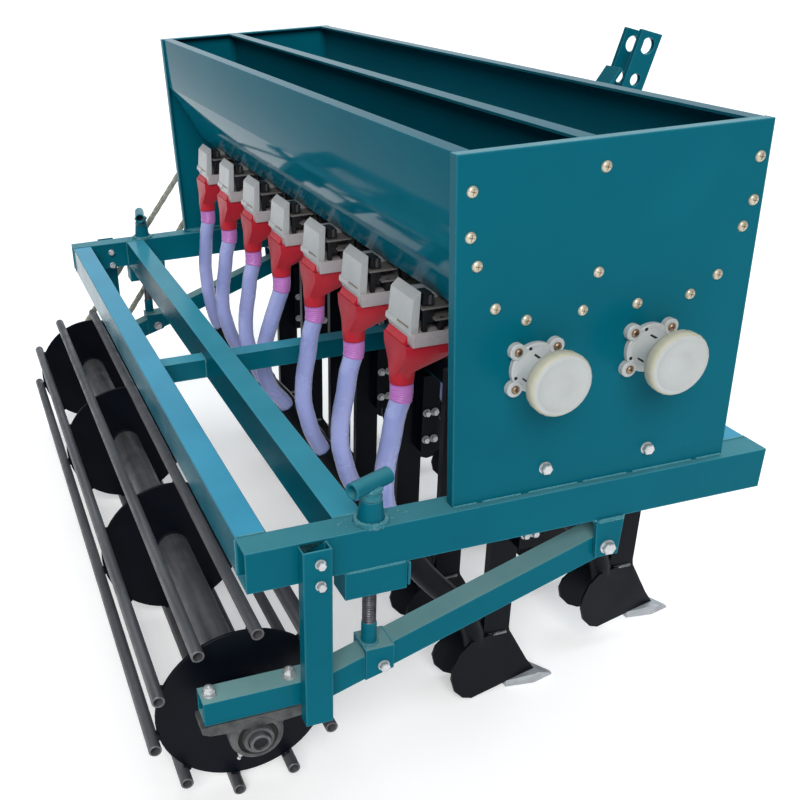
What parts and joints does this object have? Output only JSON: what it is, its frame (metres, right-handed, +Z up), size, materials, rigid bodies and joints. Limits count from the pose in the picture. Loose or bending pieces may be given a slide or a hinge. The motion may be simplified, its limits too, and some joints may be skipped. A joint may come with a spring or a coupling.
{
  "type": "mounted wheat planter",
  "caption": "Tractor-mounted seed drill: twin-trough hopper over metering boxes, hoses to rows of winged tine openers, and a cage roller behind on screw-adjusted arms.",
  "frame": {"origin": "middle of the bounding box's footprint, on the floor that the roller and the rear openers stand on", "axes": "+X towards the machine's right-hand side, along its working width; +Y the way it is pulled; +Z up"},
  "size_m": [1.35, 0.9072, 0.8612],
  "materials": {
    "teal_paint": "gloss blue-green enamel",
    "black_paint": "semi-gloss black enamel with bright worn share tips",
    "worn_rod": "dark grey steel bar, worn by soil",
    "bearing_iron": "dark painted casting",
    "clear_hose": "cloudy bluish hose",
    "meter_plastic": "grey-white moulding with red cups below",
    "knob_plastic": "cream-white moulding",
    "zinc_plate": "yellow passivated zinc"
  },
  "bodies": {
    "frame": {"side_rail_right": "teal_paint", "side_rail_left": "teal_paint", "rear_cross_tube": "teal_paint", "middle_cross_and_spine": "teal_paint", "front_cross_tube": "teal_paint", "rear_opener_gang": "black_paint", "front_opener_gang": "black_paint", "hopper_end_plate_right": "teal_paint", "hopper_end_plate_left": "teal_paint", "hopper_bin": "teal_paint", "rear_meter_bank": "meter_plastic", "front_meter_bank": "meter_plastic", "seed_hose_1": "clear_hose", "seed_hose_2": "clear_hose", "seed_hose_3": "clear_hose", "seed_hose_4": "clear_hose", "seed_hose_5": "clear_hose", "seed_hose_6": "clear_hose", "seed_hose_7": "clear_hose", "fertiliser_hose_1": "clear_hose", "fertiliser_hose_2": "clear_hose", "fertiliser_hose_3": "clear_hose", "fertiliser_hose_4": "clear_hose", "fertiliser_hose_5": "clear_hose", "fertiliser_hose_6": "clear_hose", "rear_rate_knob": "knob_plastic", "front_rate_knob": "knob_plastic", "drive_chain": "zinc_plate", "meter_link_chain": "zinc_plate", "guide_bar_right": "teal_paint", "guide_bar_left": "teal_paint", "arm_pivot_bracket_right": "teal_paint", "arm_pivot_bracket_left": "teal_paint", "screw_nut_box_right": "teal_paint", "screw_nut_box_left": "teal_paint", "top_link_mast": "teal_paint", "lower_hitch_right": "teal_paint", "lower_hitch_left": "teal_paint"},
    "roller_arms": {"roller_arm_right": "teal_paint", "roller_arm_left": "teal_paint", "roller_bearing_right": "bearing_iron", "roller_bearing_left": "bearing_iron"},
    "roller": {"roller_core": "black_paint", "roller_bar_1": "worn_rod", "roller_bar_2": "worn_rod", "roller_bar_3": "worn_rod", "roller_bar_4": "worn_rod", "roller_bar_5": "worn_rod", "roller_bar_6": "worn_rod", "roller_bar_7": "worn_rod", "roller_bar_8": "worn_rod", "roller_bar_9": "worn_rod", "roller_bar_10": "worn_rod"},
    "screw_right": {"depth_screw_right": "teal_paint"},
    "screw_left": {"depth_screw_left": "teal_paint"},
    "rear_meter_drive": {"rear_meter_shaft": "zinc_plate"},
    "front_meter_drive": {"front_meter_shaft": "zinc_plate"}
  },
  "joints": [
    {"name": "roller_arms_lift", "type": "hinge", "parent": "frame", "child": "roller_arms", "pos_m": [0, 0.07582, 0.3387], "axis": [-1, 0, 0], "range_deg": [0, 8], "deforming": ["drive_chain"]},
    {"name": "roller_spin", "type": "hinge", "parent": "roller_arms", "child": "roller", "pos_m": [0, -0.33362, 0.12498], "axis": [1, 0, 0], "continuous": true},
    {"name": "screw_right_travel", "type": "slide", "parent": "frame", "child": "screw_right", "axis": [0, -0.1132, 0.9936], "range_m": [0, 0.045]},
    {"name": "screw_left_travel", "type": "slide", "parent": "frame", "child": "screw_left", "axis": [0, -0.1132, 0.9936], "range_m": [0, 0.045]},
    {"name": "rear_meter_spin", "type": "hinge", "parent": "frame", "child": "rear_meter_drive", "pos_m": [0, -0.06683, 0.56602], "axis": [1, 0, 0], "continuous": true},
    {"name": "front_meter_spin", "type": "hinge", "parent": "frame", "child": "front_meter_drive", "pos_m": [0, 0.0673, 0.5813], "axis": [1, 0, 0], "continuous": true}
  ],
  "couplings": [
    {"joint": "screw_right_travel", "follows": "roller_arms_lift", "m_per_rad": 0.289},
    {"joint": "screw_left_travel", "follows": "roller_arms_lift", "m_per_rad": 0.289},
    {"joint": "rear_meter_spin", "follows": "roller_spin", "ratio": 1.2308},
    {"joint": "front_meter_spin", "follows": "roller_spin", "ratio": 1.2308}
  ]
}
